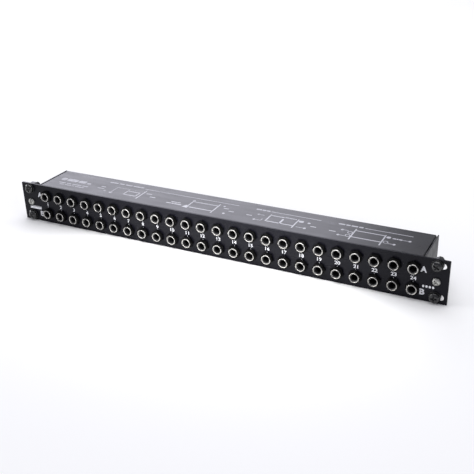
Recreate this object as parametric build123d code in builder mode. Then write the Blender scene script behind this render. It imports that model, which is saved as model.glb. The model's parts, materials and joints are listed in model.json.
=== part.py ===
from build123d import *
import os

# A 48-point patch bay, one rack unit high, in millimetres.
# Origin: the middle of the whole object. +X runs to the right as seen from the front,
# +Y to the rear, +Z up.

# ---- driving dimensions -------------------------------------------------------------
PANEL_WIDTH = 482.6
PANEL_HEIGHT = 44.0
PANEL_THICKNESS = 2.0
SHEET = 1.2  # folded steel of the chassis
CHASSIS_WIDTH = 437.0
CHASSIS_HEIGHT = 42.4
CHASSIS_DEPTH = 51.5  # front face of the panel to the outer face of the rear wall
COVER_SIDE_GAP = 1.3  # open seam between the cover and each end wall

COLUMNS = 24
COLUMN_PITCH = 18.13
FIELD_CENTRE_X = 1.0
ROW_A_Z = 9.8
ROW_B_Z = -11.05

PLUG_BORE_R = 3.25  # takes a 6.35 mm phone plug
RING_R = 5.0
RING_DEPTH = 1.0
SPIGOT_R = 3.8
SPIGOT_DEPTH = 2.8
BUSH_R = 4.8
BUSH_LENGTH = 5.8  # front of the jack body to the back of the bright ring
BODY_WIDTH = 12.0
BODY_HEIGHT = 14.4
BODY_DEPTH = 24.0
BODY_FRONT_WALL = 3.0
BODY_BACK_WALL = 0.5
CAVITY_RIGHT = 4.2
CAVITY_HEIGHT = 11.2
NUT_FLATS = 12.0
NUT_DEPTH = 2.8
PANEL_HOLE_R = 5.0

BOARD_THICKNESS = 1.6
BOARD_DEPTH = 47.0
BOARD_TOP = 17.2
BOARD_BOTTOM = -18.4

STRIP = 0.4  # thickness of the contact springs
STRIP_WIDTH = 2.6
CONTACT_Z = 4.9
NORMAL_Z = 5.4
NORMAL_STRIP = 0.3

SLOT_X = 232.55  # rack hole centres, 465.1 x 31.75
SLOT_Z = 15.875
SLOT_LENGTH = 11.5
SLOT_WIDTH = 7.0
FLANGE_SLOT_LENGTH = 13.9  # the folded flange's slots are a little larger than the panel's
FLANGE_SLOT_WIDTH = 8.0
FLANGE_REACH = 240.9
FLANGE_HEIGHT = 42.4
RACK_SCREW_X = 229.9  # the screws rest at the inner ends of the slots
RACK_SHANK_R = 3.0
RACK_SHANK_LENGTH = 16.0
RACK_NECK_R = 2.4  # thinner than the root of the thread, so the neck floats in the nut
RACK_NECK_LENGTH = 9.6
RACK_HEAD_R = 5.1
RACK_HEAD_DEPTH = 3.5
WASHER_R = 5.6
WASHER_HOLE_R = 3.2
WASHER_DEPTH = 1.0
RACK_NUT_FLATS = 10.0
RACK_NUT_DEPTH = 5.0
RACK_NUT_TURNS = {"top_left": 30, "top_right": 0, "bottom_left": 24, "bottom_right": 8}
THREAD_GAP = 0.05
REST_GAP = 0.05  # between a rack fastener and the face it rests on

PANEL_SCREW_X = 230.4
PANEL_SCREW_R = 2.0
PANEL_SCREW_LENGTH = 8.0
PANEL_HEAD_R = 3.9
PANEL_HEAD_DEPTH = 2.4
PANEL_NUT_FLATS = 7.0
PANEL_NUT_DEPTH = 3.2

TAB_LENGTH = 10.0
TABS = ((11.0, 9.0), (42.8, 14.6))  # middle behind the panel's front face, and width
COVER_SCREW_R = 1.5
COVER_SCREW_HEAD_R = 2.6
COVER_SCREW_INSET = 5.5  # from the end wall's outer face
COVER_LIP = 2.4

# ---- places worked out from them ----------------------------------------------------
JACK_PROUD = BUSH_LENGTH - PANEL_THICKNESS + RING_DEPTH
REAR_PROUD = BUSH_LENGTH - SHEET + RING_DEPTH
FRONT = JACK_PROUD - (JACK_PROUD + CHASSIS_DEPTH + REAR_PROUD) / 2
PANEL_BACK = FRONT + PANEL_THICKNESS
FLANGE_BACK = PANEL_BACK + SHEET
REAR = FRONT + CHASSIS_DEPTH
REAR_INNER = REAR - SHEET
TOP = CHASSIS_HEIGHT / 2
END_X = CHASSIS_WIDTH / 2
END_INNER = END_X - SHEET
COVER_X = END_X - SHEET - COVER_SIDE_GAP
BUSH_FRONT = PANEL_BACK - BUSH_LENGTH
CAVITY_FRONT = PANEL_BACK + BODY_FRONT_WALL
CAVITY_BACK = PANEL_BACK + BODY_DEPTH - BODY_BACK_WALL

COLUMN_X = [FIELD_CENTRE_X + COLUMN_PITCH * (n - (COLUMNS - 1) / 2) for n in range(COLUMNS)]
ROWS = {"a": ROW_A_Z, "b": ROW_B_Z}
JACK_PLACES = [(x, z) for z in ROWS.values() for x in COLUMN_X]
SLOT_PLACES = [(sx * SLOT_X, sz * SLOT_Z) for sx in (-1, 1) for sz in (-1, 1)]
CORNERS = {"top_left": (-1, 1), "top_right": (1, 1), "bottom_left": (-1, -1), "bottom_right": (1, -1)}

# contact places in one jack, as (distance behind the body's front, height above its axis)
TIP_LINE = [(6.0, CONTACT_Z), (16.4, CONTACT_Z), (20.2, 2.95), (22.0, 4.9)]
RING_LINE = [(6.0, -CONTACT_Z), (11.0, -CONTACT_Z), (14.4, -2.95), (16.2, -4.9)]
SLEEVE_LINE = [(5.0, 3.8), (8.4, 3.8), (10.4, 3.2), (11.8, 3.7)]
TAIL_DEPTH = 1.6
TIP_NORMAL = (20.6, 22.6)
RING_NORMAL = (15.0, 17.0)


def wall_plane(y):
    """A sketch plane across the object at y, with +X to the right and +Z up."""
    return Plane.XZ.offset(-y)


def behind_body_front(distance):
    return PANEL_BACK + distance


def save(part, name):
    part.label = name
    export_step(part, f"parts/{name}.step")


def in_columns(piece, row_z, rear):
    """One piece for each of the 24 columns; the rear jacks mirror the front ones."""
    facing = mirror(piece, about=Plane.XZ, mode=Mode.PRIVATE) if rear else piece
    with BuildPart() as row:
        with Locations(*[(x, 0, row_z) for x in COLUMN_X]):
            add(facing)
    return row.part


# ---- sheet metal --------------------------------------------------------------------
def front_panel():
    with BuildPart() as panel:
        with BuildSketch(wall_plane(FRONT)):
            Rectangle(PANEL_WIDTH, PANEL_HEIGHT)
            with Locations(*JACK_PLACES):
                Circle(PANEL_HOLE_R, mode=Mode.SUBTRACT)
            with Locations(*SLOT_PLACES):
                SlotOverall(SLOT_LENGTH, SLOT_WIDTH, mode=Mode.SUBTRACT)
            with Locations((-PANEL_SCREW_X, 0), (PANEL_SCREW_X, 0)):
                Circle(PANEL_SCREW_R + 0.2, mode=Mode.SUBTRACT)
        extrude(amount=-PANEL_THICKNESS)
        fillet(panel.edges().filter_by(Axis.Y).group_by(Axis.X)[0], 0.8)
        fillet(panel.edges().filter_by(Axis.Y).group_by(Axis.X)[-1], 0.8)
    return panel.part


def cover():
    """Top sheet and rear wall in one fold, with a short lip tucked behind the panel."""
    rear_height = CHASSIS_HEIGHT - SHEET
    with BuildPart() as shell:
        with BuildSketch(Plane.YZ.offset(-COVER_X)):
            with BuildLine():
                Polyline(
                    (PANEL_BACK, TOP - SHEET - COVER_LIP),
                    (PANEL_BACK, TOP),
                    (REAR, TOP),
                    (REAR, TOP - rear_height),
                    (REAR_INNER, TOP - rear_height),
                    (REAR_INNER, TOP - SHEET),
                    (PANEL_BACK + SHEET, TOP - SHEET),
                    (PANEL_BACK + SHEET, TOP - SHEET - COVER_LIP),
                    close=True,
                )
            make_face()
        extrude(amount=2 * COVER_X)
        along = shell.edges().filter_by(Axis.X)
        fillet(along.group_by(Axis.Z)[-1].sort_by(Axis.Y)[-1], SHEET * 1.3)
        with BuildSketch(wall_plane(REAR)):
            with Locations(*JACK_PLACES):
                Circle(PANEL_HOLE_R)
        extrude(amount=SHEET, mode=Mode.SUBTRACT)
    return shell.part


def bottom_plate():
    with BuildPart() as plate:
        with BuildSketch(Plane.XY.offset(-TOP)):
            with Locations((0, (PANEL_BACK + REAR) / 2)):
                Rectangle(2 * COVER_X, REAR - PANEL_BACK)
        extrude(amount=SHEET)
        with Locations(Plane.XY.offset(-TOP).rotated((180, 0, 0))):
            with Locations(*[(x, -y) for x, y in cover_screw_places()]):
                CounterSinkHole(COVER_SCREW_R + 0.1, COVER_SCREW_HEAD_R, depth=SHEET)
    return plate.part


def cover_screw_places():
    inset = END_X - COVER_SCREW_INSET
    return [(sx * inset, FRONT + y) for sx in (-1, 1) for y, _ in TABS]


def end_bracket(side):
    """Ear flange and end wall folded from one strip, with four tabs turned inwards."""
    inner = side * END_INNER
    outer = side * END_X
    with BuildPart() as bracket:
        with BuildSketch(Plane.XY.offset(-FLANGE_HEIGHT / 2)):
            with BuildLine():
                Polyline(
                    (inner, PANEL_BACK),
                    (side * FLANGE_REACH, PANEL_BACK),
                    (side * FLANGE_REACH, FLANGE_BACK),
                    (outer, FLANGE_BACK),
                    (outer, REAR),
                    (inner, REAR),
                    close=True,
                )
            make_face()
        extrude(amount=FLANGE_HEIGHT)
        upright = bracket.edges().filter_by(Axis.Z)
        fillet(upright.group_by(Axis.Y)[0].sort_by(Axis.X)[0 if side > 0 else -1], SHEET * 1.3)
        with BuildSketch(wall_plane(PANEL_BACK)):
            with Locations(*[(x, z) for x, z in SLOT_PLACES if x * side > 0]):
                SlotOverall(FLANGE_SLOT_LENGTH, FLANGE_SLOT_WIDTH)
            with Locations((side * PANEL_SCREW_X, 0)):
                Circle(PANEL_SCREW_R + 0.2)
        extrude(amount=-SHEET, mode=Mode.SUBTRACT)
        tab_x = side * (END_INNER - TAB_LENGTH / 2)
        for z in (-TOP + SHEET, TOP - 2 * SHEET):
            with BuildSketch(Plane.XY.offset(z)):
                for y, width in TABS:
                    with Locations((tab_x, FRONT + y)):
                        Rectangle(TAB_LENGTH, width)
            extrude(amount=SHEET)
        with BuildSketch(Plane.XY.offset(-TOP + SHEET)):
            with Locations(*[(x, y) for x, y in cover_screw_places() if x * side > 0]):
                Circle(COVER_SCREW_R + 0.02)
        extrude(amount=SHEET, mode=Mode.SUBTRACT)
    return bracket.part


# ---- jacks --------------------------------------------------------------------------
def jack_body():
    """Moulded body with its threaded bush, bored for the plug and open towards its board."""
    with BuildPart() as body:
        with BuildSketch(wall_plane(PANEL_BACK)):
            Rectangle(BODY_WIDTH, BODY_HEIGHT)
        extrude(amount=-BODY_DEPTH)
        with BuildSketch(wall_plane(PANEL_BACK)):
            Circle(BUSH_R)
        extrude(amount=BUSH_LENGTH)
        chamfer(body.edges().group_by(Axis.Y)[0], 0.4)
        with BuildSketch(wall_plane(CAVITY_FRONT)):
            with Locations((CAVITY_RIGHT, 0)):
                Rectangle(
                    CAVITY_RIGHT + BODY_WIDTH / 2, CAVITY_HEIGHT, align=(Align.MAX, Align.CENTER)
                )
        extrude(amount=-(CAVITY_BACK - CAVITY_FRONT), mode=Mode.SUBTRACT)
        with BuildSketch(wall_plane(BUSH_FRONT)):
            Circle(PLUG_BORE_R)
        extrude(amount=-(CAVITY_FRONT - BUSH_FRONT), mode=Mode.SUBTRACT)
        with BuildSketch(wall_plane(BUSH_FRONT)):
            Circle(SPIGOT_R)
        extrude(amount=-SPIGOT_DEPTH, mode=Mode.SUBTRACT)
    return body.part


def jack_ferrule():
    """Bright plated ring with a spigot pressed into the bush."""
    with BuildPart() as ferrule:
        with BuildSketch(wall_plane(BUSH_FRONT - RING_DEPTH)):
            Circle(RING_R)
        extrude(amount=-RING_DEPTH)
        fillet(ferrule.edges().group_by(Axis.Y)[0], 0.35)
        with BuildSketch(wall_plane(BUSH_FRONT)):
            Circle(SPIGOT_R)
        extrude(amount=-SPIGOT_DEPTH)
        with BuildSketch(wall_plane(BUSH_FRONT - RING_DEPTH)):
            Circle(PLUG_BORE_R)
        extrude(amount=-(RING_DEPTH + SPIGOT_DEPTH), mode=Mode.SUBTRACT)
    return ferrule.part


def hex_nut(front_y, flats, depth, bore_r):
    """A hex nut along Y with its front face at front_y and a corner up."""
    with BuildPart() as nut:
        with BuildSketch(wall_plane(front_y)):
            RegularPolygon(flats / 2, 6, major_radius=False, rotation=30)
            Circle(bore_r, mode=Mode.SUBTRACT)
        extrude(amount=-depth)
    return nut.part


def front_nut(quarter):
    """A jack nut, turned by a share of a flat, since tightening leaves each at its own angle."""
    nut = hex_nut(FRONT - NUT_DEPTH, NUT_FLATS, NUT_DEPTH, BUSH_R + THREAD_GAP)
    return nut.rotate(Axis.Y, quarter * 15)


def nut_row(row_z, rear):
    """Rear nuts bear on the thinner rear wall, so they sit closer to the jack bodies."""
    shift = PANEL_THICKNESS - SHEET if rear else 0
    with BuildPart() as row:
        for n, x in enumerate(COLUMN_X):
            nut = front_nut((n * 3 + (1 if row_z > 0 else 2)) % 4)
            facing = mirror(nut, about=Plane.XZ, mode=Mode.PRIVATE) if rear else nut
            with Locations((x, -shift, row_z)):
                add(facing)
    return row.part


def strip_outline(points, thickness):
    """The corners of a bent strip that follows a centre line."""
    half = thickness / 2
    return [(a, b - half) for a, b in points] + [(a, b + half) for a, b in reversed(points)]


def contact_spring(points):
    """A contact strip above or below the plug, with a tail out to the board."""
    line = [(behind_body_front(y), z) for y, z in points]
    with BuildPart() as spring:
        with BuildSketch(Plane.YZ.offset(-STRIP_WIDTH / 2)):
            with BuildLine():
                Polyline(*strip_outline(line, STRIP), close=True)
            make_face()
        extrude(amount=STRIP_WIDTH)
        with BuildSketch(Plane.YZ.offset(-BODY_WIDTH / 2)):
            with Locations((line[0][0] + TAIL_DEPTH / 2, line[0][1])):
                Rectangle(TAIL_DEPTH, STRIP)
        extrude(amount=(BODY_WIDTH - STRIP_WIDTH) / 2)
    return spring.part


def sleeve_spring():
    """The sleeve contact lies along the left side of the plug."""
    line = [(behind_body_front(y), x) for y, x in SLEEVE_LINE]
    with BuildPart() as spring:
        with BuildSketch(Plane(origin=(0, 0, -STRIP_WIDTH / 2), x_dir=(0, 1, 0), z_dir=(0, 0, 1))):
            with BuildLine():
                Polyline(*strip_outline(line, STRIP), close=True)
            make_face()
        extrude(amount=STRIP_WIDTH)
        with BuildSketch(Plane.YZ.offset(-BODY_WIDTH / 2)):
            with Locations((line[0][0] + TAIL_DEPTH / 2, 0)):
                Rectangle(TAIL_DEPTH, STRIP_WIDTH / 2)
        extrude(amount=BODY_WIDTH / 2 - line[0][1])
    return spring.part


def normal_contacts():
    """The two fixed contacts that the tip and ring springs rest on with no plug in."""
    with BuildPart() as pair:
        for (start, end), z in ((TIP_NORMAL, NORMAL_Z), (RING_NORMAL, -NORMAL_Z)):
            with BuildSketch(Plane.YZ.offset(-BODY_WIDTH / 2)):
                with Locations((behind_body_front(start + TAIL_DEPTH / 2), z)):
                    Rectangle(TAIL_DEPTH, NORMAL_STRIP)
            extrude(amount=(BODY_WIDTH + STRIP_WIDTH) / 2)
            with BuildSketch(Plane.YZ.offset(-STRIP_WIDTH / 2)):
                with Locations((behind_body_front((start + end) / 2), z)):
                    Rectangle(end - start, NORMAL_STRIP)
            extrude(amount=STRIP_WIDTH)
    return pair.part


def channel_boards():
    """One upright circuit board per column, along the left side of its four jacks."""
    with BuildPart() as boards:
        with BuildSketch(Plane.XY.offset(BOARD_BOTTOM)):
            with Locations(*[(x - (BODY_WIDTH + BOARD_THICKNESS) / 2, 0) for x in COLUMN_X]):
                Rectangle(BOARD_THICKNESS, BOARD_DEPTH)
        extrude(amount=BOARD_TOP - BOARD_BOTTOM)
    return boards.part


# ---- screws -------------------------------------------------------------------------
def pan_head_screw(seat_y, head_r, head_depth, shank_r, shank_length):
    """A cross-recess screw along Y, its head in front of seat_y."""
    with BuildPart() as screw:
        with BuildSketch(wall_plane(seat_y)):
            Circle(head_r)
        extrude(amount=head_depth)
        fillet(screw.edges().group_by(Axis.Y)[0], head_depth * 0.42)
        with BuildSketch(wall_plane(seat_y)):
            Circle(shank_r)
        extrude(amount=-shank_length)
        chamfer(screw.edges().group_by(Axis.Y)[-1], shank_r * 0.2)
        with BuildSketch(wall_plane(seat_y - head_depth)):
            Rectangle(head_r * 1.05, head_r * 0.24, rotation=25)
            Rectangle(head_r * 0.24, head_r * 1.05, rotation=25)
        extrude(amount=-head_depth * 0.6, mode=Mode.SUBTRACT)
    return screw.part


def panel_screws():
    screw = pan_head_screw(FRONT, PANEL_HEAD_R, PANEL_HEAD_DEPTH, PANEL_SCREW_R, PANEL_SCREW_LENGTH)
    with BuildPart() as pair:
        with Locations((-PANEL_SCREW_X, 0, 0), (PANEL_SCREW_X, 0, 0)):
            add(screw)
    return pair.part


def panel_screw_nuts():
    nut = hex_nut(FLANGE_BACK, PANEL_NUT_FLATS, PANEL_NUT_DEPTH, PANEL_SCREW_R + THREAD_GAP)
    with BuildPart() as pair:
        with Locations((-PANEL_SCREW_X, 0, 0), (PANEL_SCREW_X, 0, 0)):
            add(nut)
    return pair.part


def bottom_screws():
    """Four countersunk screws, flush with the underside."""
    tip_z = -TOP + 2 * SHEET + 0.2
    head_depth = COVER_SCREW_HEAD_R - COVER_SCREW_R
    with BuildPart() as screws:
        with Locations(*[(x, y, -TOP) for x, y in cover_screw_places()]):
            Cone(
                COVER_SCREW_HEAD_R - 0.12,
                COVER_SCREW_R,
                head_depth,
                align=(Align.CENTER, Align.CENTER, Align.MIN),
            )
            Cylinder(
                COVER_SCREW_R,
                tip_z + TOP,
                align=(Align.CENTER, Align.CENTER, Align.MIN),
            )
        recess = screws.faces().group_by(Axis.Z)[0]
        with BuildSketch(*[Plane(f).rotated((0, 0, 20)) for f in recess]):
            Rectangle(3.0, 0.7)
            Rectangle(0.7, 3.0)
        extrude(amount=-1.0, mode=Mode.SUBTRACT)
    return screws.part


def rack_screw():
    """A captive rack screw: its neck is thinner than its thread, so it floats in the nut behind the ear."""
    seat_y = FRONT - 2 * REST_GAP - WASHER_DEPTH
    whole = pan_head_screw(seat_y, RACK_HEAD_R, RACK_HEAD_DEPTH, RACK_SHANK_R, RACK_SHANK_LENGTH)
    with BuildPart() as screw:
        add(whole)
        with BuildSketch(wall_plane(seat_y)):
            Circle(RACK_SHANK_R + 1)
            Circle(RACK_NECK_R, mode=Mode.SUBTRACT)
        extrude(amount=-RACK_NECK_LENGTH, mode=Mode.SUBTRACT)
    return screw.part


def rack_nut(corner):
    bore_r = RACK_SHANK_R + THREAD_GAP
    nut = hex_nut(FLANGE_BACK + REST_GAP, RACK_NUT_FLATS, RACK_NUT_DEPTH, bore_r)
    return nut.rotate(Axis.Y, RACK_NUT_TURNS[corner])


def at_corner(piece, corner):
    """The piece made on the axis, moved to one of the four rack screw places."""
    sx, sz = CORNERS[corner]
    with BuildPart() as placed:
        with Locations((sx * RACK_SCREW_X, 0, sz * SLOT_Z)):
            add(piece)
    return placed.part


def rack_washer():
    with BuildPart() as washer:
        with BuildSketch(wall_plane(FRONT - REST_GAP)):
            Circle(WASHER_R)
            Circle(WASHER_HOLE_R, mode=Mode.SUBTRACT)
        extrude(amount=WASHER_DEPTH)
        fillet(washer.edges().group_by(Axis.Y)[0].sort_by(SortBy.LENGTH)[-1], 0.3)
    return washer.part


os.makedirs("parts", exist_ok=True)

save(front_panel(), "front_panel")
save(cover(), "cover")
save(bottom_plate(), "bottom_plate")
save(end_bracket(-1), "end_bracket_left")
save(end_bracket(1), "end_bracket_right")
save(channel_boards(), "channel_boards")
save(panel_screws(), "panel_screws")
save(panel_screw_nuts(), "panel_screw_nuts")
save(bottom_screws(), "bottom_screws")

JACK_PIECES = {
    "jack_bodies": jack_body(),
    "jack_ferrules": jack_ferrule(),
    "tip_springs": contact_spring(TIP_LINE),
    "ring_springs": contact_spring(RING_LINE),
    "sleeve_springs": sleeve_spring(),
    "normal_contacts": normal_contacts(),
}
for row_name, row_z in ROWS.items():
    for end in ("front", "rear"):
        for piece_name, piece in JACK_PIECES.items():
            save(in_columns(piece, row_z, end == "rear"), f"{piece_name}_{end}_{row_name}")
        save(nut_row(row_z, end == "rear"), f"jack_nuts_{end}_{row_name}")

for corner in CORNERS:
    save(at_corner(rack_screw(), corner), f"rack_screw_{corner}")
    save(at_corner(rack_washer(), corner), f"rack_washer_{corner}")
    save(at_corner(rack_nut(corner), corner), f"rack_nut_{corner}")
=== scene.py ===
"""The looks of a 48-point patch bay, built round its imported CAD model.

Lengths in this file are millimetres unless a name says otherwise; MM turns them into metres.
"""

import json
import math

import bmesh
import bpy
import numpy as np
from mathutils import Matrix, Vector


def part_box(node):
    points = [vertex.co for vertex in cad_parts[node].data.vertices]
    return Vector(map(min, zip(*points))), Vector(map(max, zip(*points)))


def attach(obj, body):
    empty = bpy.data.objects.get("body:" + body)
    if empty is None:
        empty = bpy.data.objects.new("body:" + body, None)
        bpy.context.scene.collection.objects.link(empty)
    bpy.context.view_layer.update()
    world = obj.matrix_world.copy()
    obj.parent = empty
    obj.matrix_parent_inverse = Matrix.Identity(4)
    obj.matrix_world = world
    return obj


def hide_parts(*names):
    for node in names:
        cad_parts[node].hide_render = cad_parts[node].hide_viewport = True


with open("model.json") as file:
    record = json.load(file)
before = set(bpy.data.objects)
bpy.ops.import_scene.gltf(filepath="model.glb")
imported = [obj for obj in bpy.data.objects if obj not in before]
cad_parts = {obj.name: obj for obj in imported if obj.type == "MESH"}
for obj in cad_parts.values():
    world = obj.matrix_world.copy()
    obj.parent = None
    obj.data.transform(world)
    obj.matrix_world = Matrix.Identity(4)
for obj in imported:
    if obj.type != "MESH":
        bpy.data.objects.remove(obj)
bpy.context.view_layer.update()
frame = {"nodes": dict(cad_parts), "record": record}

MM = 0.001
ROOT = "chassis"
CORNERS = ("top_left", "top_right", "bottom_left", "bottom_right")
INK_DEPTH = 0.03


def mm_box(node):
    """The lowest and highest corner of a CAD node, in millimetres."""
    low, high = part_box(node)
    return np.array(low) / MM, np.array(high) / MM


PANEL_LOW, _ = mm_box("front_panel")
_, COVER_HIGH = mm_box("cover")
PANEL_FRONT = PANEL_LOW[1]
COVER_BACK = COVER_HIGH[1]
COVER_TOP = COVER_HIGH[2]
FLOOR_Z = PANEL_LOW[2]


# ---------------------------------------------------------------- camera and light


def aim(name, data, position, forward, up):
    """An object at a place in metres, looking along forward."""
    look = Vector(forward).normalized()
    right = look.cross(Vector(up)).normalized()
    turn = Matrix((right, right.cross(look), -look)).transposed().to_4x4()
    thing = bpy.data.objects.new(name, data)
    bpy.context.scene.collection.objects.link(thing)
    thing.matrix_world = Matrix.Translation(position) @ turn
    return thing


def softbox(name, position, target, width, height, radiance, colour=(1, 1, 1)):
    """A rectangular soft light of a given radiance, in metres."""
    light = bpy.data.lights.new(name, "AREA")
    light.shape = "RECTANGLE"
    light.size = width
    light.size_y = height
    light.energy = radiance * math.pi * width * height
    light.color = colour
    toward = Vector(target) - Vector(position)
    return aim(name, light, position, toward, (0, 0, 1))


camera_data = bpy.data.cameras.new("camera")
camera_data.sensor_width = 36.0
camera_data.lens = 59.128
camera_data.clip_start = 0.01
camera_data.clip_end = 60.0
bpy.context.scene.camera = aim(
    "camera",
    camera_data,
    (0.35428, -0.64339, 0.34329),
    (-0.41723, 0.79728, -0.43619),
    (-0.17487, 0.40056, 0.89943),
)

softbox("window_behind", (-1.72, 2.1, 1.15), (0, 0, 0), 2.5, 1.2, 2.6, (0.965, 0.96, 1.08))
softbox("overhead", (0.0, 0.5, 2.2), (0, 0, 0), 2.6, 2.2, 2.3)
softbox("left_card", (-1.5, -0.2, 0.3), (0, 0, 0), 0.9, 0.6, 1.2)
floor_pool = softbox("floor_pool", (0.01, -0.07, 0.05), (0.01, -0.069, 0), 0.28, 0.06, 4.8)
floor_pool.visible_camera = False

world = bpy.data.worlds.new("studio")
world.use_nodes = True
world.node_tree.nodes["Background"].inputs["Color"].default_value = (0.94, 0.945, 1.04, 1)
world.node_tree.nodes["Background"].inputs["Strength"].default_value = 0.4
bpy.context.scene.world = world
bpy.context.scene.view_settings.view_transform = "Standard"


# ---------------------------------------------------------------- materials


class Finish:
    """One procedural material: a Principled shader and the textures that vary it."""

    def __init__(self, name, colour, roughness, metallic=0.0, specular=0.5):
        self.material = bpy.data.materials.new(name)
        self.material.use_nodes = True
        self.nodes = self.material.node_tree.nodes
        self.links = self.material.node_tree.links
        self.shader = self.nodes["Principled BSDF"]
        self.set("Base Color", (*colour, 1))
        self.set("Roughness", roughness)
        self.set("Metallic", metallic)
        self.set("Specular IOR Level", specular)
        self.place = self.nodes.new("ShaderNodeTexCoord").outputs["Object"]
        self.normal = None

    def set(self, socket, value):
        self.shader.inputs[socket].default_value = value

    def noise(self, size, detail=3.0, roughness=0.55, stretch=(1, 1, 1)):
        """Noise whose lumps are about size across, longer along the axes stretch says."""
        mapping = self.nodes.new("ShaderNodeMapping")
        mapping.inputs["Scale"].default_value = [1 / s for s in stretch]
        texture = self.nodes.new("ShaderNodeTexNoise")
        texture.inputs["Scale"].default_value = 1 / (size * MM)
        texture.inputs["Detail"].default_value = detail
        texture.inputs["Roughness"].default_value = roughness
        self.links.new(self.place, mapping.inputs["Vector"])
        self.links.new(mapping.outputs["Vector"], texture.inputs["Vector"])
        return texture.outputs["Fac"]

    def cells(self, size):
        """Rounded cells about size across, for cast grain and orange peel."""
        texture = self.nodes.new("ShaderNodeTexVoronoi")
        texture.feature = "SMOOTH_F1"
        texture.inputs["Scale"].default_value = 1 / (size * MM)
        self.links.new(self.place, texture.inputs["Vector"])
        return texture.outputs["Distance"]

    def ramp(self, source, at_low, at_high, low, high):
        """Source mapped so that at_low gives low and at_high gives high."""
        node = self.nodes.new("ShaderNodeMapRange")
        node.interpolation_type = "SMOOTHSTEP"
        for socket, value in zip(("From Min", "From Max", "To Min", "To Max"),
                                 (at_low, at_high, low, high)):
            node.inputs[socket].default_value = value
        self.links.new(source, node.inputs["Value"])
        return node.outputs["Result"]

    def rough(self, source, low, high):
        self.links.new(self.ramp(source, 0.3, 0.7, low, high), self.shader.inputs["Roughness"])
        return self

    def tint(self, source, first, second):
        """The colour goes from first to second with source."""
        mix = self.nodes.new("ShaderNodeMix")
        mix.data_type = "RGBA"
        mix.inputs["A"].default_value = (*first, 1)
        mix.inputs["B"].default_value = (*second, 1)
        self.links.new(source, mix.inputs["Factor"])
        self.links.new(mix.outputs["Result"], self.shader.inputs["Base Color"])
        return self

    def bump(self, source, height, strength=1.0):
        """Relief of a height in millimetres, laid over any relief made before."""
        node = self.nodes.new("ShaderNodeBump")
        node.inputs["Strength"].default_value = strength
        node.inputs["Distance"].default_value = height * MM
        self.links.new(source, node.inputs["Height"])
        if self.normal is not None:
            self.links.new(self.normal, node.inputs["Normal"])
        self.normal = node.outputs["Normal"]
        self.links.new(self.normal, self.shader.inputs["Normal"])
        return self


def painted(name, dark, light, roughness, specular, peel):
    """Black paint on steel: orange peel, a fine tooth, handling marks and faint cloudiness."""
    paint = Finish(name, dark, roughness[0], specular=specular)
    clouds = paint.noise(38, detail=4, roughness=0.6)
    rubs = paint.noise(7, detail=5, roughness=0.65, stretch=(6, 1, 1))
    paint.tint(paint.ramp(clouds, 0.35, 0.65, 0, 1), dark, light)
    paint.rough(rubs, *roughness)
    paint.bump(paint.cells(0.9), peel)
    paint.bump(paint.noise(0.28, detail=2), peel * 0.35)
    return paint.material


def metal(name, colour, stain, roughness, scratch, specular=0.5):
    """Bare or plated metal: stains, a varying polish and fine scratches."""
    finish = Finish(name, colour, roughness[0], metallic=1.0, specular=specular)
    finish.tint(finish.ramp(finish.noise(2.4, detail=5), 0.45, 0.7, 0, 1), colour, stain)
    finish.rough(finish.noise(1.1, detail=4), *roughness)
    finish.bump(finish.noise(0.22, detail=3, stretch=(5, 1, 1)), scratch)
    return finish.material


def blackened(name, dark, worn, roughness, specular, worn_from):
    """Black oxide or black zinc on steel, rubbed browner and shinier in patches."""
    finish = Finish(name, dark, roughness[0], metallic=0.0, specular=specular)
    patches = finish.noise(1.6, detail=6, roughness=0.7)
    finish.tint(finish.ramp(patches, worn_from, worn_from + 0.2, 0, 1), dark, worn)
    finish.rough(finish.noise(0.8, detail=3), *roughness)
    finish.bump(finish.noise(0.2, detail=3), 0.012)
    return finish.material


def plastic(name, dark, light, roughness):
    """Moulded plastic: a faint flow pattern and a fine spark-eroded grain."""
    finish = Finish(name, dark, roughness[0])
    finish.tint(finish.ramp(finish.noise(6, detail=2, stretch=(1, 4, 1)), 0.35, 0.65, 0, 1),
                dark, light)
    finish.rough(finish.noise(1.5, detail=3), *roughness)
    finish.bump(finish.noise(0.18, detail=2), 0.01)
    return finish.material


def circuit_board(name):
    """Green solder mask over copper tracks on a woven glass base."""
    finish = Finish(name, (0.012, 0.075, 0.03), 0.3)
    tracks = finish.nodes.new("ShaderNodeTexBrick")
    tracks.inputs["Scale"].default_value = 60.0
    tracks.inputs["Color1"].default_value = (0.012, 0.075, 0.03, 1)
    tracks.inputs["Color2"].default_value = (0.014, 0.085, 0.033, 1)
    tracks.inputs["Mortar"].default_value = (0.02, 0.12, 0.045, 1)
    turn = finish.nodes.new("ShaderNodeMapping")
    turn.inputs["Rotation"].default_value = (0, math.radians(90), 0)
    finish.links.new(finish.place, turn.inputs["Vector"])
    finish.links.new(turn.outputs["Vector"], tracks.inputs["Vector"])
    finish.links.new(tracks.outputs["Color"], finish.shader.inputs["Base Color"])
    finish.rough(finish.noise(3, detail=3), 0.22, 0.42)
    finish.bump(tracks.outputs["Fac"], 0.03)
    finish.bump(finish.noise(0.5, detail=2, stretch=(1, 3, 1)), 0.01)
    return finish.material


def ink(name, bright, dull):
    """White screen-printed ink: a slightly uneven film with pinholes."""
    finish = Finish(name, bright, 0.55)
    finish.tint(finish.ramp(finish.noise(0.7, detail=4), 0.5, 0.75, 0, 1), bright, dull)
    finish.rough(finish.noise(1.2, detail=2), 0.45, 0.65)
    finish.bump(finish.noise(0.15, detail=2), 0.006)
    return finish.material


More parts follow.
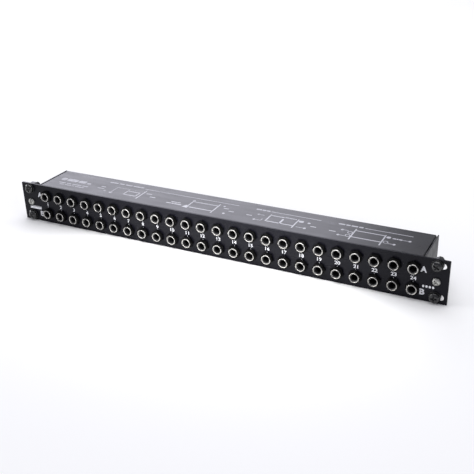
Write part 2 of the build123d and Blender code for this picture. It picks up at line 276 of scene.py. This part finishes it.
PANEL_PAINT = painted("panel_paint", (0.0045, 0.0045, 0.008), (0.0065, 0.0065, 0.0105),
                      (0.26, 0.36), 0.14, 0.02)
# The edge finishes are lighter than the paint they border: partly rubbed edge wear, partly a
# painted highlight along the rounded edges.
PANEL_EDGE_WEAR_AND_HIGHLIGHT = painted("panel_edge_wear_and_highlight", (0.012, 0.012, 0.016), (0.017, 0.017, 0.021),
                     (0.3, 0.42), 0.45, 0.012)
COVER_PAINT = painted("cover_paint", (0.011, 0.011, 0.013), (0.015, 0.015, 0.018),
                      (0.27, 0.35), 0.5, 0.014)
# Lighter than the cover paint: edge wear and a painted edge highlight.
COVER_EDGE_WEAR_AND_HIGHLIGHT = painted("cover_edge_wear_and_highlight", (0.02, 0.02, 0.023), (0.028, 0.028, 0.031),
                     (0.28, 0.4), 0.5, 0.01)
BRACKET_PAINT = painted("bracket_paint", (0.012, 0.012, 0.014), (0.016, 0.016, 0.019),
                        (0.4, 0.52), 0.4, 0.018)
BOTTOM_PAINT = painted("bottom_paint", (0.011, 0.011, 0.013), (0.015, 0.015, 0.018),
                       (0.36, 0.48), 0.5, 0.018)
JACK_PLASTIC = plastic("jack_plastic", (0.009, 0.009, 0.01), (0.013, 0.013, 0.014), (0.34, 0.5))
NICKEL = metal("nickel", (0.58, 0.57, 0.545), (0.44, 0.42, 0.39), (0.1, 0.2), 0.006)
BLACK_NUT = blackened("black_nut", (0.002, 0.002, 0.002), (0.005, 0.0045, 0.004),
                      (0.5, 0.65), 0.1, 0.62)
SPRING_METAL = metal("spring_metal", (0.66, 0.56, 0.38), (0.5, 0.4, 0.26), (0.22, 0.36), 0.006)
ZINC = metal("zinc", (0.44, 0.44, 0.42), (0.3, 0.3, 0.28), (0.26, 0.42), 0.008)
BLACK_ZINC = blackened("black_zinc", (0.014, 0.014, 0.015), (0.05, 0.045, 0.04),
                       (0.28, 0.42), 0.6, 0.6)
BLACK_SCREW = blackened("black_screw", (0.004, 0.004, 0.005), (0.02, 0.018, 0.016),
                        (0.13, 0.24), 0.7, 0.62)
WASHER = plastic("washer", (0.003, 0.003, 0.003), (0.005, 0.005, 0.005), (0.4, 0.55))
BOARD = circuit_board("board")
INK = ink("white_ink", (0.86, 0.87, 0.9), (0.62, 0.63, 0.66))
COVER_INK = ink("cover_ink", (0.44, 0.44, 0.48), (0.3, 0.31, 0.34))
FLOOR = Finish("floor", (0.93, 0.93, 0.93), 0.9, specular=0.1).material


# ---------------------------------------------------------------- mesh tools
# A shape is (vertices, faces): an array of places in millimetres and a list of index lists.


def skin(rows, closed=False, caps=False):
    """Quads between rings of points: closed joins the last to the first, caps fills both ends."""
    count, width = len(rows), len(rows[0])
    faces = []
    for row in range(count if closed else count - 1):
        a, b = row * width, (row + 1) % count * width
        faces += [[a + k, a + (k + 1) % width, b + (k + 1) % width, b + k] for k in range(width)]
    if caps:
        faces.append(list(range(width)))
        faces.append(list(range((count - 1) * width, count * width)))
    return np.concatenate(rows), faces


def ring(radius, y, angles):
    """Points round the Y axis. Radius and y are single numbers or one for each angle."""
    radius = np.broadcast_to(radius, len(angles))
    y = np.broadcast_to(y, len(angles))
    return np.stack([radius * np.cos(angles), y, radius * np.sin(angles)], axis=1)


def turns(count):
    return np.arange(count) * 2 * math.pi / count


def lathe(profile, segments):
    """A solid ring from a closed profile of (radius, y)."""
    return skin([ring(r, y, turns(segments)) for r, y in profile], closed=True)


def corner(radius_from, y_from, radius_to, y_to, steps, hollow=False):
    """A quarter ellipse from one profile point to another; hollow turns it inside out."""
    points = []
    for k in range(steps + 1):
        t = k / steps * math.pi / 2
        s, c = math.sin(t), math.cos(t)
        if hollow:
            s, c = 1 - c, 1 - s
        points.append((radius_from + (radius_to - radius_from) * s, y_to + (y_from - y_to) * c))
    return points


def joined(shapes):
    """Several shapes as one."""
    vertices, faces, start = [], [], 0
    for v, f in shapes:
        vertices.append(v)
        faces += [[i + start for i in face] for face in f]
        start += len(v)
    return np.concatenate(vertices), faces


def moved(shape, place, degrees=0.0, rear=False):
    """A copy turned about the Y axis, faced to the rear if asked, and put in place."""
    vertices, faces = shape
    a = math.radians(degrees)
    x = vertices[:, 0] * math.cos(a) - vertices[:, 2] * math.sin(a)
    z = vertices[:, 0] * math.sin(a) + vertices[:, 2] * math.cos(a)
    turned = np.stack([x, vertices[:, 1], z], axis=1)
    if rear:
        turned[:, :2] *= -1
    return turned + np.array(place), faces


def piece(name, shape, material, body=ROOT, replaces=(), sharp=34):
    """A new object made of a shape, riding on a CAD body."""
    vertices, faces = shape
    mesh = bpy.data.meshes.new(name)
    mesh.from_pydata((vertices * MM).tolist(), [], faces)
    work = bmesh.new()
    work.from_mesh(mesh)
    bmesh.ops.recalc_face_normals(work, faces=work.faces)
    work.to_mesh(mesh)
    work.free()
    mesh.shade_smooth()
    mesh.set_sharp_from_angle(angle=math.radians(sharp))
    mesh.materials.append(material)
    thing = bpy.data.objects.new(name, mesh)
    bpy.context.scene.collection.objects.link(thing)
    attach(thing, body)
    if replaces:
        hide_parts(*replaces)
    return thing


# ---------------------------------------------------------------- sheet metal and inner parts

for node, paint, edge, radius in (
    ("front_panel", PANEL_PAINT, PANEL_EDGE_WEAR_AND_HIGHLIGHT, 0.22),
    ("cover", COVER_PAINT, COVER_EDGE_WEAR_AND_HIGHLIGHT, 0.3),
    ("end_bracket_left", BRACKET_PAINT, COVER_EDGE_WEAR_AND_HIGHLIGHT, 0.25),
    ("end_bracket_right", BRACKET_PAINT, COVER_EDGE_WEAR_AND_HIGHLIGHT, 0.25),
    ("bottom_plate", BOTTOM_PAINT, COVER_EDGE_WEAR_AND_HIGHLIGHT, 0.25),
):
    sheet = frame["nodes"][node]
    sheet.data.materials.clear()
    sheet.data.materials.append(paint)
    sheet.data.materials.append(edge)
    weld = sheet.modifiers.new("weld", "WELD")
    weld.merge_threshold = 0.002 * MM
    bevel = sheet.modifiers.new("rounded_edges", "BEVEL")
    bevel.width = radius * MM
    bevel.segments = 2
    bevel.limit_method = "ANGLE"
    bevel.angle_limit = math.radians(50)
    bevel.use_clamp_overlap = True
    bevel.harden_normals = True
    # The rounded edges take the lighter edge finish in slot 1: partly edge wear, partly a painted
    # highlight.
    bevel.material = 1

for node, thing in frame["nodes"].items():
    for word, material in (
        ("jack_bodies", JACK_PLASTIC), ("springs", SPRING_METAL), ("contacts", SPRING_METAL),
        ("channel_boards", BOARD), ("panel_screw_nuts", ZINC), ("bottom_screws", BLACK_ZINC),
        ("rack_nut", BLACK_ZINC),
    ):
        if word in node:
            thing.data.materials.clear()
            thing.data.materials.append(material)


# ---------------------------------------------------------------- jacks

RING_SEGMENTS = 44
RING_RADIUS = 5.0
MOUTH_RADIUS = 4.1
LINER_RADIUS = 3.6
BORE_RADIUS = 3.25
SPIGOT_RADIUS = 3.8
NUT_FLATS = 12.0
BUSH_RADIUS = 4.8
JACK_THREAD_PITCH = 0.75
# how far behind the front of a ring each of these lies
INNER_ROLL = 0.55
OUTER_ROLL = 0.6
MOUTH_SHELF = 0.9
FUNNEL_EDGE = 0.7
FUNNEL_THROAT = 1.3


def ferrule(front, face_back, spigot_back):
    """The plated ring round a jack's hole, its lip rolled over at both edges."""
    crest = (MOUTH_RADIUS + RING_RADIUS) / 2
    profile = [(LINER_RADIUS, spigot_back), (LINER_RADIUS, front + 1.0)]
    profile += [(MOUTH_RADIUS, front + MOUTH_SHELF)]
    profile += corner(MOUTH_RADIUS, front + INNER_ROLL, crest, front, 6)
    profile += corner(crest, front, RING_RADIUS, front + OUTER_ROLL, 6)[1:]
    profile += [(RING_RADIUS, face_back - 0.08), (RING_RADIUS - 0.08, face_back)]
    profile += [(SPIGOT_RADIUS, face_back), (SPIGOT_RADIUS, spigot_back)]
    return lathe(profile, RING_SEGMENTS)


def liner(front, back):
    """The black moulded sleeve that lines a ring and funnels the plug into the bore."""
    profile = [(BORE_RADIUS, back), (BORE_RADIUS, front + FUNNEL_THROAT)]
    profile += [(MOUTH_RADIUS, front + FUNNEL_EDGE)]
    profile += [(MOUTH_RADIUS, front + 0.88), (LINER_RADIUS, front + 0.98), (LINER_RADIUS, back)]
    return lathe(profile, RING_SEGMENTS)


def chamfered_nut(front, back, flats, bore):
    """A hexagon nut whose corners are turned down by a 28 degree cone on both faces."""
    angles = turns(60)
    apothem = flats / 2
    across = apothem / np.cos((angles % (math.pi / 3)) - math.pi / 6)
    shoulder = apothem * 0.97
    drop = np.maximum(0, across - shoulder) * math.tan(math.radians(28))
    rows = [
        ring(bore, back - 0.3, angles),
        ring(bore, front + 0.3, angles),
        ring(bore + 0.3, front, angles),
        ring(shoulder, front, angles),
        ring(across, front + drop, angles),
        ring(across, back - drop * 0.4, angles),
        ring(shoulder, back, angles),
        ring(bore + 0.3, back, angles),
    ]
    return skin(rows, closed=True)


def thread_height(y, start, pitch, angles):
    """How high a helical thread stands at each angle, from 0 at its root to 1 at its crest."""
    phase = ((y - start) / pitch - angles / (2 * math.pi)) % 1.0
    return np.clip((1 - np.abs(2 * phase - 1)) * 1.35 - 0.15, 0, 1)


def thread(major, minor, core, start, end, pitch, segments, steps):
    """A screw thread along Y as a closed sleeve, its crest a helix."""
    angles = turns(segments)
    rows = [ring(core, start, angles)]
    count = int(round((end - start) / pitch * steps)) + 1
    for y in np.linspace(start, end, count):
        height = thread_height(y, start, pitch, angles)
        fade = min(1.0, (y - start) / (0.4 * pitch), (end - y) / (0.4 * pitch))
        rows.append(ring(minor + (major - minor) * height * max(fade, 0.0), y, angles))
    rows.append(ring(core, end, angles))
    return skin(rows, closed=True)


jacks = {}
for mount in frame["record"]["mounts"]:
    if mount["kind"] == "bore":
        end, _, address = mount["name"].split("_")
        x, _, z = (v / MM for v in mount["pos_m"])
        jacks.setdefault((end, address[0]), []).append((x, z))

for (end, row), places in sorted(jacks.items()):
    rear = end == "rear"
    name = f"{end}_{row}"
    ferrule_low, ferrule_high = mm_box(f"jack_ferrules_{name}")
    nut_low, nut_high = mm_box(f"jack_nuts_{name}")
    if rear:
        ring_front, spigot_back = -ferrule_high[1], -ferrule_low[1]
        nut_front, nut_back = -nut_high[1], -nut_low[1]
    else:
        ring_front, spigot_back = ferrule_low[1], ferrule_high[1]
        nut_front, nut_back = nut_low[1], nut_high[1]
    bush_front = ring_front + 1.0
    one_ring = ferrule(ring_front, bush_front, spigot_back)
    one_liner = liner(ring_front, spigot_back)
    one_nut = chamfered_nut(nut_front, nut_back, NUT_FLATS, BUSH_RADIUS + 0.02)
    one_thread = thread(BUSH_RADIUS + 0.16, BUSH_RADIUS, BUSH_RADIUS - 0.6,
                        bush_front + 0.02, nut_front + 0.02, JACK_THREAD_PITCH, 36, 8)
    places.sort()
    rings, liners, nuts, threads = [], [], [], []
    for index, (x, z) in enumerate(places):
        quarter = (index * 3 + (1 if row == "a" else 2)) % 4
        rings.append(moved(one_ring, (x, 0, z), rear=rear))
        liners.append(moved(one_liner, (x, 0, z), rear=rear))
        nuts.append(moved(one_nut, (x, 0, z), 15 * quarter, rear=rear))
        threads.append(moved(one_thread, (x, 0, z), 77 * index, rear=rear))
    piece(f"ferrules_{name}", joined(rings), NICKEL,
          replaces=[f"jack_ferrules_{name}"], sharp=50)
    piece(f"liners_{name}", joined(liners), JACK_PLASTIC, sharp=50)
    piece(f"nuts_{name}", joined(nuts), BLACK_NUT,
          replaces=[f"jack_nuts_{name}"], sharp=20)
    piece(f"bush_threads_{name}", joined(threads), JACK_PLASTIC, sharp=60)


# ---------------------------------------------------------------- screws and washers


def cross_outline(angles, reach, half_width):
    """The radius of a cross-shaped outline at each angle."""
    c, s = np.abs(np.cos(angles)), np.abs(np.sin(angles))
    long_way, short_way = np.maximum(c, s), np.minimum(c, s)
    return np.where(short_way * reach <= half_width * long_way, reach / long_way,
                    half_width / np.maximum(short_way, 1e-9))


def pan_head_screw(head_front, seat, tip, head_radius, shank_radius, pitch, neck_radius, neck_end):
    """A cross-recess pan head, a plain neck, and beyond it the thread cut as a helix."""
    depth = seat - head_front
    reach, half_width = head_radius * 0.56, head_radius * 0.13
    notch = math.atan2(half_width, reach)
    angles = np.sort(np.concatenate([
        turns(48),
        *[np.array([-notch, notch, math.pi / 4]) % (2 * math.pi) + q * math.pi / 2
          for q in range(4)],
    ]) % (2 * math.pi))
    angles = angles[np.concatenate([[True], np.diff(angles) > 1e-6])]

    def dome(radius):
        share = np.clip(np.asarray(radius) / head_radius, 0, 1)
        return head_front + depth * 0.85 * (1 - np.sqrt(1 - share ** 4 * 0.97))

    top = cross_outline(angles, reach, half_width)
    lip = cross_outline(angles, reach * 1.05, half_width * 1.22)
    floor = cross_outline(angles, reach * 0.62, half_width * 0.8)
    bottom = head_front + depth * 0.62
    rows = [ring(0.03, bottom + depth * 0.12, angles), ring(floor, bottom, angles),
            ring(top, dome(top) + 0.12, angles), ring(lip, dome(lip), angles)]
    for share in (0.15, 0.35, 0.55, 0.72, 0.84, 0.92, 0.97, 1.0):
        radius = lip + (head_radius - lip) * share
        rows.append(ring(radius, dome(radius), angles))
    rows += [
        ring(head_radius, seat - depth * 0.08, angles),
        ring(head_radius * 0.97, seat, angles),
        ring(neck_radius, seat, angles),
        ring(neck_radius, neck_end, angles),
    ]
    steps = 6
    count = int(round((tip - neck_end) / pitch * steps))
    for y in np.linspace(neck_end + 0.05, tip - shank_radius * 0.3, count):
        height = thread_height(y, seat, pitch, angles)
        rows.append(ring(shank_radius * (0.86 + 0.13 * height), y, angles))
    rows.append(ring(shank_radius * 0.62, tip, angles))
    return skin(rows, caps=True)


WASHER_BORE = 3.2
RACK_SHANK_RADIUS = 3.0
RACK_THREAD_PITCH = 1.0
PANEL_SHANK_RADIUS = 2.0
PANEL_THREAD_PITCH = 0.7
PANEL_NECK_LENGTH = 0.1
RACK_NECK_RADIUS = 2.4
RACK_NECK_LENGTH = 9.6

for corner_name, angle in zip(CORNERS, (17, 64, 38, 3)):
    low, high = mm_box(f"rack_screw_{corner_name}")
    washer_low, washer_high = mm_box(f"rack_washer_{corner_name}")
    x, z = (low[0] + high[0]) / 2, (low[2] + high[2]) / 2
    screw_seat = washer_low[1]
    screw = pan_head_screw(low[1], screw_seat, high[1], (high[0] - low[0]) / 2,
                           RACK_SHANK_RADIUS, RACK_THREAD_PITCH,
                           RACK_NECK_RADIUS, screw_seat + RACK_NECK_LENGTH)
    piece(f"screw_{corner_name}", moved(screw, (x, 0, z), angle), BLACK_SCREW,
          body=f"rack_screw_{corner_name}", replaces=[f"rack_screw_{corner_name}"], sharp=38)
    edge = (washer_high[0] - washer_low[0]) / 2
    front, back = washer_low[1], washer_high[1]
    profile = [(WASHER_BORE, back), (WASHER_BORE, front + 0.15), (WASHER_BORE + 0.15, front)]
    profile += corner(edge - 0.4, front, edge, front + 0.4, 4)
    profile += [(edge, back - 0.1), (edge - 0.1, back)]
    washer = lathe(profile, 56)
    piece(f"washer_{corner_name}", moved(washer, (x, 0, z)), WASHER,
          body=f"rack_washer_{corner_name}", replaces=[f"rack_washer_{corner_name}"])

low, high = mm_box("panel_screws")
head_radius = (high[2] - low[2]) / 2
panel_screw = pan_head_screw(low[1], PANEL_FRONT, high[1], head_radius,
                             PANEL_SHANK_RADIUS, PANEL_THREAD_PITCH,
                             PANEL_SHANK_RADIUS, PANEL_FRONT + PANEL_NECK_LENGTH)
piece("panel_screw_pair",
      joined([moved(panel_screw, (side * (high[0] - head_radius), 0, 0), turn)
              for side, turn in ((-1, 12), (1, 52))]),
      ZINC, replaces=["panel_screws"], sharp=38)


# ---------------------------------------------------------------- printing


def bar(x0, y0, x1, y1, width):
    """A flat printed stroke between two points, as a thin solid. Local z is out of the surface."""
    start, end = np.array([x0, y0], float), np.array([x1, y1], float)
    along = end - start
    length = float(np.hypot(*along))
    along = along / length
    side = np.array([-along[1], along[0]]) * width / 2
    cut = along * min(width, length) * 0.25
    outline = [start + side + cut, start + side * 0.5, start - side * 0.5, start - side + cut,
               end - side - cut, end - side * 0.5, end + side * 0.5, end + side - cut]
    return plate(outline)


def plate(outline):
    """A flat printed shape from its outline, as a thin solid."""
    rows = [np.array([[p[0], p[1], z] for p in outline]) for z in (-INK_DEPTH / 2, INK_DEPTH / 2)]
    return skin(rows, caps=True)


def disc(x, y, radius, segments=20):
    return plate([(x + radius * math.cos(t), y + radius * math.sin(t)) for t in turns(segments)])


def circle(x, y, radius, width, segments=24):
    """A printed ring."""
    rows = []
    for r, z in ((radius - width, -1), (radius, -1), (radius, 1), (radius - width, 1)):
        rows.append(np.array([[x + r * math.cos(t), y + r * math.sin(t), z * INK_DEPTH / 2]
                              for t in turns(segments)]))
    return skin(rows, closed=True)


def text(characters, height, bold, wide=1.0):
    """Characters as a flat solid, centred on the origin, in the built-in plain font."""
    curve = bpy.data.curves.new("type", "FONT")
    curve.body = characters
    curve.align_x = "CENTER"
    curve.size = 1.0
    curve.offset = bold
    curve.extrude = 0.5
    curve.resolution_u = 4
    thing = bpy.data.objects.new("type", curve)
    bpy.context.scene.collection.objects.link(thing)
    bpy.context.view_layer.update()
    evaluated = thing.evaluated_get(bpy.context.evaluated_depsgraph_get())
    mesh = bpy.data.meshes.new_from_object(evaluated)
    vertices = np.array([v.co for v in mesh.vertices], float)
    faces = [list(f.vertices) for f in mesh.polygons]
    bpy.data.objects.remove(thing)
    bpy.data.meshes.remove(mesh)
    bpy.data.curves.remove(curve)
    low, high = vertices.min(0), vertices.max(0)
    scale = height / (high[1] - low[1])
    vertices = (vertices - (low + high) / 2) * [scale * wide, scale, INK_DEPTH]
    return vertices, faces


def on_front(shape, x=0.0, z=0.0):
    """A flat print laid on the panel, its up along Z."""
    v, faces = shape
    return np.stack([v[:, 0] + x, PANEL_FRONT - v[:, 2], v[:, 1] + z], axis=1), faces


def on_rear(shape, x=0.0, z=0.0):
    """A flat print laid on the cover's rear wall, reading from behind."""
    v, faces = shape
    return np.stack([x - v[:, 0], COVER_BACK + v[:, 2], v[:, 1] + z], axis=1), faces


def on_top(shape):
    """A flat print laid on the cover, its up along Y."""
    v, faces = shape
    return np.stack([v[:, 0], v[:, 1], COVER_TOP + v[:, 2]], axis=1), faces


NUMBER_Z = -0.8
NUMBER_HEIGHT = 3.7
numbers = [text(str(n + 1), NUMBER_HEIGHT, 0.02, 1.15) for n in range(24)]
columns = [x for x, _ in jacks[("front", "a")]]

piece("channel_numbers",
      joined([on_front(shape, x, NUMBER_Z) for shape, x in zip(numbers, columns)]),
      INK)
piece("channel_ticks",
      joined([on_front(bar(x, z0, x, z1, w)) for x in columns
              for z0, z1, w in ((2.6, 1.2, 0.3), (-4.0, -5.2, 0.45))]),
      INK)
LETTER_HEIGHT = 6.0
row_letters = [on_front(text(letter, LETTER_HEIGHT, 0.04, wide), x, z)
               for x in (-217.4, 218.2)
               for letter, z, wide in (("A", 10.0, 0.95), ("B", -13.0, 1.1))]
piece("row_letters", joined(row_letters), INK)

slant = 0.9
maker_bar = [plate([(-233.8, -8.3), (-218.2, -8.3),
                    (-218.2 + slant, -5.7), (-233.8 + slant, -5.7)]),
             plate([(-229.5, -5.1), (-217.6, -5.1), (-217.3, -4.7), (-229.2, -4.7)])]
type_blocks = [bar(x, -6.9, x + 1.9, -6.9, 2.4) for x in (218.0, 221.0, 224.0, 227.0)]
piece("panel_marks", joined([on_front(s) for s in maker_bar + type_blocks]), INK)

piece("rear_numbers",
      joined([on_rear(text(str(n + 1), 2.8, 0.022), x, -1.0) for n, x in enumerate(columns)]),
      INK)


def dashes(x0, x1, y, width, words):
    """A run of printed words, each shown as a plain block. Words are shares of the length."""
    gap = (x1 - x0) * 0.035
    unit = (x1 - x0 - gap * (len(words) - 1)) / sum(words)
    strokes = []
    x = x0
    for word in words:
        strokes.append(bar(x, y, x + unit * word, y, width))
        x += unit * word + gap
    return strokes


LINE = 0.7
THICK = 1.3
top_print = [
    # heading and its small print
    *dashes(-206, -172, 2.0, 6.2, (1.1, 2.3, 1.6)), *dashes(-170, -165, 0.5, 3.4, (1,)),
    *dashes(-203, -163, -7.4, 1.7, (3, 2, 4, 2.5)), *dashes(-199, -166, -11.6, 1.5, (2, 3, 1, 4)),
    # first wiring scheme
    *dashes(-148, -103, 14.2, 2.3, (4, 2.4, 3.2, 5)), bar(-100, 12.2, 15, 12.2, 0.9),
    bar(-131, 4.6, -131, -9, LINE), bar(-131, 4.6, -115, 4.6, LINE),
    bar(-115, 4.6, -115, 0.4, LINE),
    plate([(-133.6, -9.5), (-128.4, -9.5), (-131, -12.4)]),
    bar(-115, 0.4, -99.5, 0.4, THICK), bar(-115, -9, -99.5, -9, THICK),
    bar(-115, 0.7, -115, -9.3, THICK), bar(-99.5, 0.7, -99.5, -9.3, THICK),
    bar(-95.6, 9, -95.6, -14, THICK),
    *dashes(-92, -85, 2.0, 1.4, (1,)), *dashes(-84, -77, -4.2, 1.4, (1,)),
    *dashes(-150, -144, 0.2, 1.6, (1,)), disc(-140, -8.2, 1.2),
    *dashes(-152, -143, -4.6, 1.2, (2, 1)),
    # second
    *dashes(-60, -42, -9.6, 1.8, (2, 1, 3)), *dashes(-56, -45, -5.6, 1.4, (2, 1)),
    bar(-34.4, 5.4, -34.4, -9, THICK), disc(-34.4, 5.2, 1.5),
    plate([(-39.6, -12.8), (-33.4, -13.4), (-33.0, -8.6), (-36.4, -7.2)]),
    bar(-34, 3.0, -4.4, 3.0, THICK), bar(-32, -10.8, -4.4, -10.8, THICK),
    bar(-4.4, 8, -4.4, -15, THICK), disc(1.8, 4.8, 1.2), disc(8.6, -11.0, 1.4),
    *dashes(3.0, 9.0, 0.4, 1.3, (1,)), *dashes(11, 17, -4.2, 1.3, (1,)),
    # third
    *dashes(35, 50.6, 12.0, 2.4, (3, 2, 2)), bar(52, 11.6, 105.8, 11.6, 0.9),
    *dashes(31.4, 37.6, -4.4, 1.3, (1,)), disc(42.9, 1.0, 1.4), disc(43.2, -11.5, 1.4),
    bar(43.2, -11.5, 50.5, -11.5, LINE), bar(50.5, -11.5, 50.5, -7, LINE), bar(43, 1, 49, 1, LINE),
    bar(55, 3.6, 70, 3.6, THICK), bar(55, -10.4, 85, -10.4, THICK), bar(55, 5.4, 55, -11, THICK),
    bar(70.2, -0.2, 70.2, -11, 2.0), bar(85, 5, 85, -15, THICK),
    *dashes(70.5, 83, 4.2, 1.4, (2, 3, 1)), bar(86.2, 1.2, 91.4, 1.2, 4.0),
    disc(97.2, 0.8, 1.5), disc(97.2, -11.4, 1.5), bar(88, -11.4, 96, -11.4, LINE),
    *dashes(100.8, 106.8, -5.0, 1.3, (1,)),
    # fourth
    *dashes(123.8, 149, 12.0, 2.4, (3, 2, 3, 2)), bar(150.6, 11.5, 197.8, 11.5, 0.9),
    *dashes(120.4, 127.2, -6.2, 1.3, (1,)), disc(131.7, 0.6, 1.5), disc(131.6, -11.5, 1.5),
    bar(131.7, 0.6, 138, 0.6, LINE), bar(131.6, -11.5, 138, -11.5, LINE),
    circle(140.4, -2.6, 2.6, LINE), circle(140.4, -9.6, 2.6, LINE),
    bar(143.7, 7, 143.7, -17.4, THICK), bar(144.4, 3.4, 173.4, 3.4, THICK),
    bar(144.4, -11.0, 173.4, -11.0, THICK), bar(173.5, 5, 173.5, -18, THICK),
    bar(175, 1.2, 179.2, 1.2, 4.0), *dashes(181, 190.5, 0.6, 2.0, (2, 1, 2)),
    bar(191, 0.5, 196.5, 0.5, LINE), disc(197.3, 0.5, 1.5), circle(177.2, -9.4, 2.6, LINE),
    bar(179.8, -11.3, 185, -11.3, LINE), disc(185.8, -11.3, 1.5),
]
piece("cover_scheme", joined([on_top(s) for s in top_print]), COVER_INK)


# ---------------------------------------------------------------- floor

floor_mesh = bpy.data.meshes.new("floor")
reach = 14.0
floor_z = (FLOOR_Z - 0.05) * MM
floor_mesh.from_pydata([(-reach, -reach, floor_z), (reach, -reach, floor_z),
                        (reach, reach, floor_z), (-reach, reach, floor_z)], [], [(0, 1, 2, 3)])
floor_mesh.materials.append(FLOOR)
floor_object = bpy.data.objects.new("floor", floor_mesh)
bpy.context.scene.collection.objects.link(floor_object)
